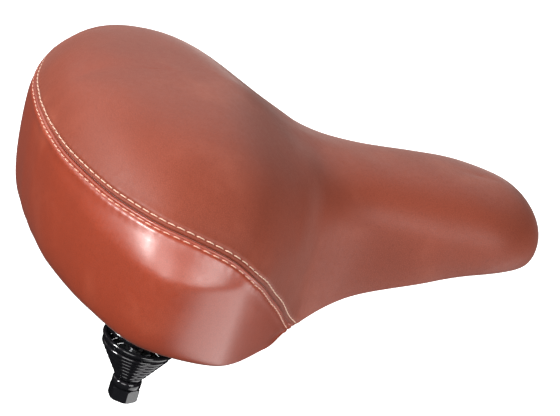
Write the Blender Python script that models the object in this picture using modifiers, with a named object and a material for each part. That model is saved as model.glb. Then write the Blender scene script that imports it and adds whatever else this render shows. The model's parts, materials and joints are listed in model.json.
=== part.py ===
"""Wide sprung bicycle saddle with its seat clamp, as an assembly of separate pieces.

Metres. X points forward to the nose, Y to the rider's left, Z up. The origin is the centre of the mouth of
the seatpost socket. Four groups hang on one another: the clamp band on the seatpost, the clamp head that
tilts on its bolt, the wire frame that slides through the head, and the seat that hinges at the nose and
rests on two springs.
"""

import math

import bmesh
import bpy
from mathutils import Matrix, Vector

GAP = 0.0003                    # clearance between pieces that touch
BOOLEAN_REACH = 0.002           # how far a cutter runs past the face it opens

# Seatpost socket and clamp band
POST_RADIUS = 0.01125           # bore for a 22.2 mm post
BAND_RADIUS = 0.0138
BAND_HEIGHT = 0.028
EAR_RADIUS = 0.012
EAR_HALF_WIDTH = 0.008
EAR_SLOT = 0.005
BOLT_X, BOLT_Z = -0.0262, 0.016  # tilt axis, along Y

# Clamp head
BOLT_RADIUS = 0.004
BOLT_HOLE = BOLT_RADIUS + GAP
GROOVE_REACH = 0.02             # how far each rail groove runs before and behind the bolt
CHEEK_RADIUS = 0.012
CHEEK_TOP = 0.038
CHEEK_CORNER = 0.004
CAP_FACE = 0.029                # outer face of the outer cap
WASHER_THICKNESS = 0.0016
WASHER_RADIUS = 0.008
NUT_HEIGHT = 0.0065
NUT_FLATS = 0.013
NUT_CHAMFER = 0.0009
STUD_END = 0.0390

# Wire frame
WIRE_RADIUS = 0.0035
RAIL_Y = 0.022
RAIL_Z = 0.030
CROSSBAR_X, CROSSBAR_Z = 0.103, 0.066
CROSSBAR_Y = 0.017              # the rails draw together towards the nose
RAIL_FRONT_X = 0.012            # where the rails start to climb to the nose
RAIL_REAR_X = -0.055            # where they turn down to the springs
RAIL_DROP = (-0.0595, 0.032)     # foot of that drop
EYE_RADIUS = 0.0072
EYE_TOP, EYE_BOTTOM = -0.0025, -0.0065
EYE_CROP = (0.0125, 0.0075, 0.004)  # half length, half width and depth of what is pressed flat

# Springs, each on a vertical axis
SPRING_X, SPRING_Y = -0.0686, 0.060
SPRING_WIRE = 0.00135
SPRING_FOOT_RADIUS = 0.0057
SPRING_RADIUS = 0.0165
CONE_TURNS, CONE_TOP = 7, 0.0155
BARREL_TURNS = 7.75
SPRING_SEAT = 0.062             # underside of the boss that the top turn bears on
TURN_STEPS = 9
SPRING_WASHER_Z, SPRING_WASHER_RADIUS = 0.0046, 0.0068
SPRING_BOLT_TOP = 0.0150

# Nose bracket
BRACKET_WIDTH = 0.016
BRACKET_THICKNESS = 0.0018
BRACKET_BEND = WIRE_RADIUS + 0.0005
BRACKET_TOP = 0.0700
BRACKET_REACH = 0.0145
BRACKET_SCREW = 0.0102
SCREW_BORE = 0.0023
SCREW_REACH = 0.003             # how far a screw bore runs past its plate

# Cover: half outline from nose tip to tail, seen from above
OUTLINE = [
    (0.1390, 0.0), (0.1325, 0.0267), (0.1094, 0.0429), (0.0783, 0.0435), (0.0348, 0.0409),
    (0.0075, 0.0535), (-0.0146, 0.0824), (-0.0503, 0.1197), (-0.0881, 0.1214),
    (-0.1095, 0.0894), (-0.1229, 0.0477), (-0.1266, 0.0170), (-0.1270, 0.0),
]
SPINE_REAR, SPINE_FRONT = -0.0722, 0.1017
SPINE_X = [-0.124, -0.072, -0.038, 0.0, 0.038, 0.0765, 0.1017, 0.134]
SPINE_Z = [0.1245, 0.1245, 0.1277, 0.1126, 0.1084, 0.1081, 0.1065, 0.1065]
# Values at the nose, the same behind it, the waist, the wings and the tail
STATIONS = [0.0, 0.2, 0.42, 0.66, 1.0]
WIDEST_Z = [0.0793, 0.0793, 0.0828, 0.0795, 0.0888]
RIM_Z = [0.0668, 0.0668, 0.0300, 0.0409, 0.0408]
TUCK = [0.0063, 0.0063, 0.0042, 0.0088, 0.0090]
ROUNDNESS = [2.12, 2.12, 2.29, 1.44, 2.56]
DOME = [0.0, 0.0, 0.0, 0.0158, 0.0]     # extra height halfway out, which squares the wings' tops
# Seam between the two panels: how far down the section it lies, 0 at the spine, 1 at the widest, 2 at the rim
SEAM_START = 5 / 12
SEAM_STATIONS = [5 / 12, 6 / 12, 7 / 12, 8 / 12, 10 / 12, 1.0]
SEAM_DEPTH = [1.89, 1.29, 0.87, 0.75, 0.85, 0.79]
SEAM_GAP = 0.0010
SKIN = 0.0014

# Base shell and foam
TRAY_Z = 0.071                  # underside of the flat tray
SHELL_THICKNESS = 0.003
SHELL_EDGE_INSET = 0.0060
FLANGE_INSET = 0.0105
FLANGE_RISE = 0.0024            # underside of the flange above the cover's rim
WALL_POWER = 8
TRAY_ROWS = [0.0, 0.6, 0.78, 0.89, 0.96, 1.0]
FOAM_INSET = 0.0036             # the pad stays clear of the skin
FOAM_LIP_RISE = 0.0020
BOSS_RADIUS = 0.0188
SPIGOT_RADIUS = 0.0135
SPIGOT_DROP = 0.0037

# Clips that hold the top turn of each spring
CLIP_THICKNESS = 0.0014
CLIP_WIDTH = 0.012
CLIP_TOP = 0.0580
CLIP_TURN_BACK = 0.1            # radians from the wire's end
CLIP_TAIL, CLIP_REACH = 0.007, 0.0205


# ---------------------------------------------------------------- scene and materials

def clear_scene():
    for obj in list(bpy.data.objects):
        bpy.data.objects.remove(obj, do_unlink=True)


def collection(name):
    made = bpy.data.collections.new(name)
    bpy.context.scene.collection.children.link(made)
    return made


def material(name, colour, roughness, metallic=0.0):
    made = bpy.data.materials.new(name)
    made.use_nodes = True
    shader = made.node_tree.nodes["Principled BSDF"]
    shader.inputs["Base Color"].default_value = (*colour, 1.0)
    shader.inputs["Roughness"].default_value = roughness
    shader.inputs["Metallic"].default_value = metallic
    return made


def empty(name, location):
    made = bpy.data.objects.new(name, None)
    made.location = location
    made.empty_display_size = 0.01
    PARTS.objects.link(made)
    return made


def part(obj, name, look, parent):
    """Names a piece, gives it a material of its own and hangs it on its group's empty."""
    obj.name = name
    obj.data.name = name
    own = look.copy()
    own.name = name + "_" + look.name
    obj.data.materials.clear()
    obj.data.materials.append(own)
    move_to(obj, PARTS)
    obj.parent = parent
    obj.matrix_parent_inverse = Matrix.Translation(parent.location).inverted()
    return obj


def move_to(obj, target):
    for old in list(obj.users_collection):
        old.objects.unlink(obj)
    target.objects.link(obj)


# ---------------------------------------------------------------- shapes

def mesh_object(bm, name):
    mesh = bpy.data.meshes.new(name)
    bm.to_mesh(mesh)
    bm.free()
    obj = bpy.data.objects.new(name, mesh)
    bpy.context.scene.collection.objects.link(obj)
    return obj


def cylinder(radius, low, high, axis="Z", centre=(0.0, 0.0, 0.0), sides=32):
    """A cylinder along an axis, from low to high on it, with its other two coordinates from centre."""
    bm = bmesh.new()
    bmesh.ops.create_cone(bm, cap_ends=True, segments=sides, radius1=radius, radius2=radius,
                          depth=high - low)
    middle = (low + high) / 2
    turn = {
        "X": Matrix.Rotation(math.pi / 2, 4, "Y"),
        "Y": Matrix.Rotation(math.pi / 2, 4, "X"),
        "Z": Matrix.Identity(4),
    }[axis]
    place = Vector(centre)
    place["XYZ".index(axis)] = middle
    bm.transform(Matrix.Translation(place) @ turn)
    return mesh_object(bm, "cylinder")


def block(low, high):
    bm = bmesh.new()
    bmesh.ops.create_cube(bm, size=1.0)
    size = Vector(high) - Vector(low)
    bm.transform(Matrix.Translation((Vector(low) + Vector(high)) / 2) @ Matrix.Diagonal((*size, 1.0)))
    return mesh_object(bm, "block")


def plate(outline, low, high):
    """A flat outline of (x, z) points, extruded along Y from low to high."""
    curve = bpy.data.curves.new("plate", "CURVE")
    curve.dimensions = "2D"
    curve.fill_mode = "BOTH"
    curve.extrude = (high - low) / 2
    spline = curve.splines.new("POLY")
    spline.points.add(len(outline) - 1)
    for point, (x, z) in zip(spline.points, outline):
        point.co = (x, z, 0.0, 1.0)
    spline.use_cyclic_u = True
    flat = bpy.data.objects.new("plate", curve)
    flat.matrix_world = Matrix.Translation((0, (low + high) / 2, 0)) @ Matrix.Rotation(math.pi / 2, 4, "X")
    bpy.context.scene.collection.objects.link(flat)
    return solid_from_curve(flat)


def tube(points, radius, resolution=2):
    """A round wire through the points, closed at both ends."""
    curve = bpy.data.curves.new("tube", "CURVE")
    curve.dimensions = "3D"
    curve.bevel_depth = radius
    curve.bevel_resolution = resolution
    curve.use_fill_caps = True
    spline = curve.splines.new("POLY")
    spline.points.add(len(points) - 1)
    for point, place in zip(spline.points, points):
        point.co = (*place, 1.0)
    wire = bpy.data.objects.new("tube", curve)
    bpy.context.scene.collection.objects.link(wire)
    return wire


def solid_from_curve(wire):
    """Turns a curve object into a mesh object whose caps are welded and whose shape is in world space."""
    bpy.context.view_layer.update()
    graph = bpy.context.evaluated_depsgraph_get()
    mesh = bpy.data.meshes.new_from_object(wire.evaluated_get(graph))
    mesh.transform(wire.matrix_world)
    bm = bmesh.new()
    bm.from_mesh(mesh)
    bmesh.ops.remove_doubles(bm, verts=bm.verts, dist=1e-6)
    bmesh.ops.recalc_face_normals(bm, faces=bm.faces)
    bm.to_mesh(mesh)
    bm.free()
    solid = bpy.data.objects.new(wire.name, mesh)
    bpy.context.scene.collection.objects.link(solid)
    bpy.data.objects.remove(wire, do_unlink=True)
    return solid


def combine(obj, other, operation):
    """Adds a Boolean with another object, which becomes a hidden cutter."""
    modifier = obj.modifiers.new(operation.lower(), "BOOLEAN")
    modifier.operation = operation
    modifier.solver = "EXACT"
    modifier.object = other
    other.hide_render = True
    other.display_type = "WIRE"
    move_to(other, CUTTERS)
    return obj


def join(obj, *others):
    for other in others:
        combine(obj, other, "UNION")
    return obj


def cut(obj, *others):
    for other in others:
        combine(obj, other, "DIFFERENCE")
    return obj


def shade_round(obj, degrees=40):
    obj.data.shade_smooth()
    obj.data.set_sharp_from_angle(angle=math.radians(degrees))
    return obj


def arc(centre_x, centre_z, radius, start, end, steps):
    """Points of an arc in the XZ plane, angles in degrees from +X towards +Z."""
    angles = [math.radians(start + (end - start) * i / steps) for i in range(steps + 1)]
    return [(centre_x + radius * math.cos(a), centre_z + radius * math.sin(a)) for a in angles]


def rounded_path(corners, steps=5):
    """A path through corner points (place, bend radius), each bend an arc that touches both its legs."""
    places = [Vector(place) for place, _ in corners]
    path = [places[0]]
    for i in range(1, len(corners) - 1):
        here, radius = places[i], corners[i][1]
        back = (places[i - 1] - here).normalized()
        ahead = (places[i + 1] - here).normalized()
        half = back.angle(ahead) / 2
        bisector = (back + ahead).normalized()
        centre = here + bisector * (radius / math.sin(half))
        start = here + back * (radius / math.tan(half)) - centre
        end = here + ahead * (radius / math.tan(half)) - centre
        swing = start.angle(end)
        for k in range(steps + 1):
            share = swing * k / steps
            blend = start * math.sin(swing - share) + end * math.sin(share)
            path.append(centre + blend / math.sin(swing))
    path.append(places[-1])
    return path


# ---------------------------------------------------------------- seat form

def through(knots, values, at):
    """A smooth curve through (knot, value) pairs, level or sloping as its neighbours are."""
    last = len(knots) - 1
    k = 0
    while k < last - 1 and at >= knots[k + 1]:
        k += 1

    def slope(i):
        low, high = max(i - 1, 0), min(i + 1, last)
        return (values[high] - values[low]) / (knots[high] - knots[low])

    span = knots[k + 1] - knots[k]
    u = min(max((at - knots[k]) / span, 0.0), 1.0)
    rise = (values[k] * (2 * u**3 - 3 * u**2 + 1) + values[k + 1] * (3 * u**2 - 2 * u**3)
            + span * slope(k) * (u**3 - 2 * u**2 + u) + span * slope(k + 1) * (u**3 - u**2))
    return rise


def along(values, t):
    return through(STATIONS, values, t)


def outline_point(t):
    """The widest line of the cover at t, 0 at the nose tip and 1 at the tail."""
    step = 1 / (len(OUTLINE) - 1)
    knots = [step * i for i in range(-1, len(OUTLINE) + 1)]
    xs = [x for x, _ in OUTLINE]
    ys = [y for _, y in OUTLINE]
    return (through(knots, [xs[1], *xs, xs[-2]], t),
            through(knots, [-ys[1], *ys, -ys[-2]], t))


def spine_x(t):
    x, _ = outline_point(t)
    share = (x - OUTLINE[-1][0]) / (OUTLINE[0][0] - OUTLINE[-1][0])
    return SPINE_REAR + (SPINE_FRONT - SPINE_REAR) * share


def cover_point(t, s):
    """A point of the cover: s is 0 on the spine, 1 on the widest line and 2 on the rim."""
    x, y = outline_point(t)
    middle = spine_x(t)
    widest, rim, tuck = along(WIDEST_Z, t), along(RIM_Z, t), along(TUCK, t)
    if s <= 1:
        power = 2 / along(ROUNDNESS, t)
        out = math.sin(s * math.pi / 2) ** power
        up = max(math.cos(s * math.pi / 2), 0.0) ** power
        top = through(SPINE_X, SPINE_Z, middle)
        dome = along(DOME, t) * math.sin(math.pi * s)**2
        return Vector((middle + (x - middle) * out, y * out, widest + (top - widest) * up + dome))
    angle = (s - 1) * math.pi / 2
    inward = Vector((middle - x, -y, 0.0)).normalized() * tuck * (1 - math.cos(angle))
    return Vector((x, y, widest - (widest - rim) * math.sin(angle))) + inward


def cover_normal(t, s):
    """The direction that points out of the cover."""
    s = min(max(s, 0.03), 1.85)
    step = 0.004
    across = cover_point(t, s + step) - cover_point(t, s - step)
    lengthwise = cover_point(min(t + step, 1.0), s) - cover_point(max(t - step, 0.0), s)
    return across.cross(lengthwise).normalized()


def inset_point(t, s, depth):
    point = cover_point(t, s) - cover_normal(t, s) * depth
    if s == 0 or t in (0.0, 1.0):
        point.y = 0.0
    return point


def rim_point(t, inset, rise):
    """A point level with the rim plus rise, moved in square to the rim's own line."""
    step = 0.004
    ahead = cover_point(min(t + step, 1.0), 2) - cover_point(max(t - step, 0.0), 2)
    if t in (0.0, 1.0):
        ahead = Vector((0.0, 1.0 if t == 0 else -1.0, 0.0))
    inward = Vector((-ahead.y, ahead.x, 0.0)).normalized()
    point = cover_point(t, 2) + inward * inset
    return Vector((point.x, 0.0 if t in (0.0, 1.0) else point.y, point.z + rise))


def seam_depth(t):
    return through(SEAM_STATIONS, SEAM_DEPTH, t)


def below_seam(t):
    """The rear panel's edge: clear of the seam by SEAM_GAP, measured square to it."""
    s, step = seam_depth(t), 0.004
    down = (cover_point(t, s + 0.01) - cover_point(t, s - 0.01)) / 0.02
    after, before = min(t + step, 1.0), t - step
    run = (cover_point(after, seam_depth(after)) - cover_point(before, seam_depth(before))).normalized()
    return s + SEAM_GAP / (down - run * down.dot(run)).length


def tray_point(t, w, inset, rise):
    """Under the seat: w is 0 on the centre line and 1 where the wall meets the flange."""
    foot = rim_point(t, inset, rise)
    middle = Vector((spine_x(t), 0.0, 0.0))
    height = foot.z + (TRAY_Z - along(RIM_Z, t) - FLANGE_RISE) * (1 - w**WALL_POWER)
    return Vector((middle.x + (foot.x - middle.x) * w, foot.y * w, height))


def loft(columns):
    """Faces between columns of equally many points."""
    bm = bmesh.new()
    grid = [[bm.verts.new(point) for point in column] for column in columns]
    for left, right in zip(grid, grid[1:]):
        for i in range(len(left) - 1):
            bm.faces.new((left[i], left[i + 1], right[i + 1], right[i]))
    bmesh.ops.remove_doubles(bm, verts=bm.verts, dist=1e-6)
    bmesh.ops.dissolve_degenerate(bm, dist=1e-6, edges=bm.edges)
    return bm


def steps(low, high, count):
    return [low + (high - low) * i / count for i in range(count + 1)]


def mirror(obj):
    modifier = obj.modifiers.new("mirror", "MIRROR")
    modifier.use_axis = (False, True, False)
    modifier.merge_threshold = 0.00001
    modifier.use_clip = True
    return obj


def solidify(obj, thickness, offset):
    modifier = obj.modifiers.new("thickness", "SOLIDIFY")
    modifier.thickness = thickness
    modifier.offset = offset
    modifier.use_even_offset = True
    return obj


# ---------------------------------------------------------------- fasteners

def hexagon(flats, low, high, axis, centre):
    """A hexagon with the usual chamfer on both faces: a prism crossed with a turned blank."""
    corner = flats / math.sqrt(3)
    prism = cylinder(corner, low, high, axis, centre, sides=6)
    blank = cylinder(corner + GAP, low, high, axis, centre, sides=24)
    bm = bmesh.new()
    bm.from_mesh(blank.data)
    index = "XYZ".index(axis)
    rims = [e for e in bm.edges if abs(e.verts[0].co[index] - e.verts[1].co[index]) < 1e-7]
    bmesh.ops.bevel(bm, geom=rims, offset=NUT_CHAMFER, segments=1, affect="EDGES")
    bm.to_mesh(blank.data)
    bm.free()
    return combine(prism, blank, "INTERSECT")


def hex_nut(low, high, axis, centre):
    bore = cylinder(BOLT_HOLE, low - BOOLEAN_REACH, high + BOOLEAN_REACH, axis, centre, sides=20)
    return cut(hexagon(NUT_FLATS, low, high, axis, centre), bore)


def washer(radius, low, high, axis, centre):
    bore = cylinder(BOLT_HOLE, low - BOOLEAN_REACH, high + BOOLEAN_REACH, axis, centre, sides=20)
    return cut(cylinder(radius, low, high, axis, centre, sides=28), bore)


def pan_screw(centre, top, shank_top, radius=0.002, head=0.0038, height=0.0024):
    """A round-headed screw driven upwards: head below top, shank from top to shank_top."""
    x, y = centre
    profile = [(radius, shank_top), (radius, top), (head, top), (head * 0.93, top - height * 0.55),
               (head * 0.62, top - height * 0.92)]
    bm = bmesh.new()
    chain = [bm.verts.new((r, 0.0, z)) for r, z in profile]
    chain = [bm.verts.new((0.0, 0.0, shank_top)), *chain, bm.verts.new((0.0, 0.0, top - height))]
    for first, second in zip(chain, chain[1:]):
        bm.edges.new((first, second))
    obj = mesh_object(bm, "screw")
    obj.location = (x, y, 0.0)
    turn = obj.modifiers.new("turn", "SCREW")
    turn.steps = turn.render_steps = 14
    turn.use_merge_vertices = True
    turn.merge_threshold = 0.00001
    return obj


# ---------------------------------------------------------------- clamp band, on the seatpost

def build_band(group):
    band = cylinder(BAND_RADIUS, 0.0, BAND_HEIGHT, sides=48)
    ear = arc(BOLT_X, BOLT_Z, EAR_RADIUS, 90, 270, 16)
    root_x = -POST_RADIUS + 0.001
    ears = plate([*ear, (root_x, BOLT_Z - EAR_RADIUS), (root_x, BOLT_Z + EAR_RADIUS)],
                 -EAR_HALF_WIDTH, EAR_HALF_WIDTH)
    bore = cylinder(POST_RADIUS, -BOOLEAN_REACH, BAND_HEIGHT + BOOLEAN_REACH, sides=48)
    slot = block((BOLT_X - 0.02, -EAR_SLOT / 2, -BOOLEAN_REACH),
                 (-0.008, EAR_SLOT / 2, BAND_HEIGHT + BOOLEAN_REACH))
    ear_end = EAR_HALF_WIDTH + BOOLEAN_REACH
    hole = cylinder(BOLT_HOLE, -ear_end, ear_end, "Y", (BOLT_X, 0, BOLT_Z), sides=24)
    cut(join(band, ears), bore, slot, hole)
    part(shade_round(band), "clamp_band", SATIN_BLACK, group)


# ---------------------------------------------------------------- clamp head, tilts on its bolt

def cheek_outline():
    half = CHEEK_RADIUS
    corner_z = CHEEK_TOP - CHEEK_CORNER
    right = arc(BOLT_X + half - CHEEK_CORNER, corner_z, CHEEK_CORNER, 0, 90, 4)
    left = arc(BOLT_X - half + CHEEK_CORNER, corner_z, CHEEK_CORNER, 90, 180, 4)
    bottom = arc(BOLT_X, BOLT_Z, half, 180, 360, 16)
    return right + left + bottom


def build_head(group):
    centre = (BOLT_X, 0.0, BOLT_Z)
    stud = cylinder(BOLT_RADIUS, -STUD_END, STUD_END, "Y", centre, sides=24)
    part(shade_round(stud), "clamp_bolt", SATIN_BLACK, group)
    for side, word in ((1, "left"), (-1, "right")):
        build_cheek(group, side, EAR_HALF_WIDTH + GAP, RAIL_Y - GAP / 2, "clamp_inner_cheek_" + word)
        build_cheek(group, side, RAIL_Y + GAP / 2, CAP_FACE, "clamp_outer_cap_" + word)
        near = CAP_FACE + GAP
        far = near + WASHER_THICKNESS
        low, high = sorted((side * near, side * far))
        ring = washer(WASHER_RADIUS, low, high, "Y", centre)
        part(shade_round(ring), "clamp_washer_" + word, SATIN_BLACK, group)
        near = far + GAP
        low, high = sorted((side * near, side * (near + NUT_HEIGHT)))
        part(hex_nut(low, high, "Y", centre), "clamp_nut_" + word, SATIN_BLACK, group)


def build_cheek(group, side, near, far, name):
    """One jaw of the head, with half of the groove that grips the rail."""
    low, high = sorted((side * near, side * far))
    cheek = plate(cheek_outline(), low, high)
    groove = cylinder(WIRE_RADIUS + GAP, BOLT_X - GROOVE_REACH, BOLT_X + GROOVE_REACH, "X",
                      (0, side * RAIL_Y, RAIL_Z), sides=24)
    hole = cylinder(BOLT_HOLE, low - BOOLEAN_REACH, high + BOOLEAN_REACH, "Y",
                    (BOLT_X, 0, BOLT_Z), sides=24)
    part(shade_round(cut(cheek, groove, hole)), name, SATIN_BLACK, group)


# ---------------------------------------------------------------- wire frame and springs

def build_frame(group):
    half = [
        ((CROSSBAR_X, 0.0, CROSSBAR_Z), 0.0),
        ((CROSSBAR_X, CROSSBAR_Y, CROSSBAR_Z), 0.008),
        ((RAIL_FRONT_X, RAIL_Y, RAIL_Z), 0.025),
        ((RAIL_REAR_X, RAIL_Y, RAIL_Z), 0.008),
        ((*RAIL_DROP, (EYE_TOP + EYE_BOTTOM) / 2), 0.010),
        ((SPRING_X, SPRING_Y, (EYE_TOP + EYE_BOTTOM) / 2), 0.0),
    ]
    left = rounded_path(half)
    right = [Vector((p.x, -p.y, p.z)) for p in left]
    wire = solid_from_curve(tube(right[:0:-1] + left[1:], WIRE_RADIUS))
    for side in (1, -1):
        centre = (SPRING_X, side * SPRING_Y, 0.0)
        join(wire, cylinder(EYE_RADIUS, EYE_BOTTOM, EYE_TOP, "Z", centre, sides=28))
        half_x, half_y, depth = EYE_CROP
        west, east = SPRING_X - half_x, SPRING_X + half_x
        south, north = side * SPRING_Y - half_y, side * SPRING_Y + half_y
        above = block((west, south, EYE_TOP), (east, north, EYE_TOP + depth))
        below = block((west, south, EYE_BOTTOM - depth), (east, north, EYE_BOTTOM))
        hole = cylinder(BOLT_HOLE, EYE_BOTTOM - depth, EYE_TOP + depth, "Z", centre, sides=24)
        cut(wire, above, below, hole)
    part(shade_round(wire), "rail_frame", BLACK_PAINT, group)


def spring_path(side):
    """The centre line of the wire: a cone of near-touching turns, then an open barrel."""
    low = EYE_TOP + GAP + SPRING_WIRE
    high = SPRING_SEAT - GAP - SPRING_WIRE
    total = CONE_TURNS + BARREL_TURNS
    path = []
    for i in range(round(total * TURN_STEPS) + 1):
        turn = i / TURN_STEPS
        cone = min(turn / CONE_TURNS, 1.0)
        barrel = max((turn - CONE_TURNS) / BARREL_TURNS, 0.0)
        radius = SPRING_FOOT_RADIUS + (SPRING_RADIUS - SPRING_FOOT_RADIUS) * cone
        angle = 2 * math.pi * turn * side
        path.append((SPRING_X + radius * math.cos(angle), side * SPRING_Y + radius * math.sin(angle),
                     low + (CONE_TOP - low) * cone + (high - CONE_TOP) * barrel))
    return path


def build_springs(group):
    for side, word in ((1, "left"), (-1, "right")):
        centre = (SPRING_X, side * SPRING_Y, 0.0)
        coil = tube(spring_path(side), SPRING_WIRE, resolution=1)
        part(solid_from_curve(coil), "spring_" + word, BLACK_PAINT, group)
        head_top = EYE_BOTTOM - GAP
        bolt = hexagon(NUT_FLATS, head_top - NUT_HEIGHT, head_top, "Z", centre)
        shank = cylinder(BOLT_RADIUS, head_top - 0.001, SPRING_BOLT_TOP, "Z", centre, sides=24)
        part(join(bolt, shank), "spring_bolt_" + word, BLACK_PAINT, group)
        low = SPRING_WASHER_Z
        high = low + WASHER_THICKNESS
        ring = washer(SPRING_WASHER_RADIUS, low, high, "Z", centre)
        part(shade_round(ring), "spring_washer_" + word, STEEL, group)
        low = high + GAP
        part(hex_nut(low, low + NUT_HEIGHT, "Z", centre), "spring_nut_" + word, STEEL, group)


# ---------------------------------------------------------------- seat

def build_cover(group):
    """Two panels on shared stations: the rear one starts where the seam leaves the rim."""
    front = steps(0.0, SEAM_START, 10)
    rear = steps(SEAM_START + 0.02, 0.6, 6)[:-1] + steps(0.6, 1.0, 11)
    columns = []
    for t in front + rear:
        end = seam_depth(t) if t > SEAM_START else 2.0
        columns.append([cover_point(t, end * share) for share in steps(0.0, 1.0, 9)])
    top = mesh_object(loft(columns), "cover")
    part(shade_round(solidify(mirror(top), SKIN, -1)), "cover_top_panel", LEATHER, group)

    columns = []
    for t in rear:
        start = below_seam(t)
        columns.append([cover_point(t, start + (2.0 - start) * share) for share in steps(0.0, 1.0, 5)])
    back = mesh_object(loft(columns), "cover")
    part(shade_round(solidify(mirror(back), SKIN, -1)), "cover_rear_panel", LEATHER, group)


def build_foam(group):
    """The pad fills the cover down to its rim and laps the edge of the shell."""
    shell_top = FLANGE_RISE + SHELL_THICKNESS + 2 * GAP
    columns = []
    for t in steps(0.0, 1.0, 20):
        column = [inset_point(t, s, FOAM_INSET) for s in steps(0.0, 1.0, 6) + [1.35, 1.7]]
        column.append(rim_point(t, FOAM_INSET, FOAM_LIP_RISE))
        column.append(rim_point(t, SHELL_EDGE_INSET - 2 * GAP, FOAM_LIP_RISE))
        column.append(rim_point(t, SHELL_EDGE_INSET - 2 * GAP, shell_top))
        wall = FLANGE_INSET - SHELL_THICKNESS - 3 * GAP
        column += [tray_point(t, w, wall, shell_top) for w in reversed(TRAY_ROWS)]
        columns.append(column)
    foam = mirror(mesh_object(loft(columns), "foam"))
    for side in (1, -1):
        centre = (SPRING_X, side * SPRING_Y, 0.0)
        cut(foam, cylinder(BOSS_RADIUS + GAP, SPRING_SEAT, TRAY_Z + 2 * GAP, "Z", centre, sides=36))
    part(shade_round(foam), "foam_pad", FOAM, group)


def build_shell(group):
    columns = []
    for t in steps(0.0, 1.0, 20):
        column = [tray_point(t, w, FLANGE_INSET, FLANGE_RISE) for w in TRAY_ROWS]
        column.append(rim_point(t, SHELL_EDGE_INSET, FLANGE_RISE))
        columns.append(column)
    shell = mesh_object(loft(columns), "shell")
    solidify(mirror(shell), SHELL_THICKNESS, 1)
    for side in (1, -1):
        centre = (SPRING_X, side * SPRING_Y, 0.0)
        spigot_end = SPRING_SEAT - SPIGOT_DROP
        boss = cylinder(BOSS_RADIUS, SPRING_SEAT, TRAY_Z + GAP, "Z", centre, sides=36)
        spigot = cylinder(SPIGOT_RADIUS, spigot_end, SPRING_SEAT + 0.001, "Z", centre, sides=32)
        join(shell, boss, spigot)
        cut(shell, cylinder(SCREW_BORE, spigot_end - SCREW_REACH, TRAY_Z - 0.001, "Z", centre, sides=16))
    for x in bracket_screws():
        cut(shell, cylinder(SCREW_BORE, TRAY_Z - SCREW_REACH, TRAY_Z + 2 * SCREW_REACH, "Z",
                            (x, 0, 0), sides=16))
    part(shade_round(shell), "base_shell", PLASTIC, group)


def bracket_screws():
    return CROSSBAR_X + BRACKET_SCREW, CROSSBAR_X - BRACKET_SCREW


def build_nose_bracket(group):
    """A strap under the crossbar, with a flat flange before and behind it."""
    outer = BRACKET_BEND + BRACKET_THICKNESS
    low = BRACKET_TOP - BRACKET_THICKNESS
    strap = [(CROSSBAR_X + BRACKET_REACH, BRACKET_TOP), (CROSSBAR_X + BRACKET_BEND, BRACKET_TOP)]
    strap += arc(CROSSBAR_X, CROSSBAR_Z, BRACKET_BEND, 0, -180, 12)
    strap += [(CROSSBAR_X - BRACKET_BEND, BRACKET_TOP), (CROSSBAR_X - BRACKET_REACH, BRACKET_TOP),
              (CROSSBAR_X - BRACKET_REACH, low), (CROSSBAR_X - outer, low)]
    strap += arc(CROSSBAR_X, CROSSBAR_Z, outer, -180, 0, 12)
    strap += [(CROSSBAR_X + outer, low), (CROSSBAR_X + BRACKET_REACH, low)]
    bracket = plate(strap, -BRACKET_WIDTH / 2, BRACKET_WIDTH / 2)
    for x, word in zip(bracket_screws(), ("front", "rear")):
        cut(bracket, cylinder(SCREW_BORE, low - SCREW_REACH, BRACKET_TOP + SCREW_REACH, "Z",
                              (x, 0, 0), sides=16))
        screw = pan_screw((x, 0.0), low - GAP, TRAY_Z + 0.0025)
        part(shade_round(screw), "nose_screw_" + word, STEEL, group)
    part(shade_round(bracket), "nose_bracket", BLACK_PAINT, group)


def build_spring_clips(group):
    """A flat bar under each spring boss, which reaches out beneath the end of the top turn."""
    end_angle = 2 * math.pi * ((CONE_TURNS + BARREL_TURNS) % 1)
    for side, word in ((1, "left"), (-1, "right")):
        centre = (SPRING_X, side * SPRING_Y, 0.0)
        low = CLIP_TOP - CLIP_THICKNESS
        bar = block((-CLIP_TAIL, -CLIP_WIDTH / 2, low), (CLIP_REACH, CLIP_WIDTH / 2, CLIP_TOP))
        turn = Matrix.Rotation(side * (end_angle - CLIP_TURN_BACK), 4, "Z")
        bar.data.transform(Matrix.Translation(centre) @ turn)
        cut(bar, cylinder(SCREW_BORE, low - SCREW_REACH, CLIP_TOP + SCREW_REACH, "Z", centre, sides=16))
        part(bar, "spring_clip_" + word, STEEL, group)
        screw = pan_screw(centre[:2], low - GAP, TRAY_Z - 0.003)
        part(shade_round(screw), "spring_clip_screw_" + word, STEEL, group)


clear_scene()
PARTS = collection("bicycle_saddle")
CUTTERS = collection("cutters")
LEATHER = material("leather", (0.33, 0.062, 0.026), 0.42)
FOAM = material("foam", (0.72, 0.66, 0.50), 0.95)
PLASTIC = material("black_plastic", (0.018, 0.018, 0.019), 0.55)
BLACK_PAINT = material("black_paint", (0.012, 0.012, 0.014), 0.22)
SATIN_BLACK = material("satin_black_steel", (0.016, 0.016, 0.018), 0.38)
STEEL = material("zinc_steel", (0.56, 0.57, 0.58), 0.34, 1.0)

post_group = empty("seatpost_axis", (0.0, 0.0, 0.0))
tilt_group = empty("tilt_axis", (BOLT_X, 0.0, BOLT_Z))
slide_group = empty("slide_line", (BOLT_X, 0.0, RAIL_Z))
seat_group = empty("suspension_axis", (CROSSBAR_X, 0.0, CROSSBAR_Z))

build_band(post_group)
build_head(tilt_group)
build_frame(slide_group)
build_springs(slide_group)
build_cover(seat_group)
build_foam(seat_group)
build_shell(seat_group)
build_nose_bracket(seat_group)
build_spring_clips(seat_group)
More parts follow.
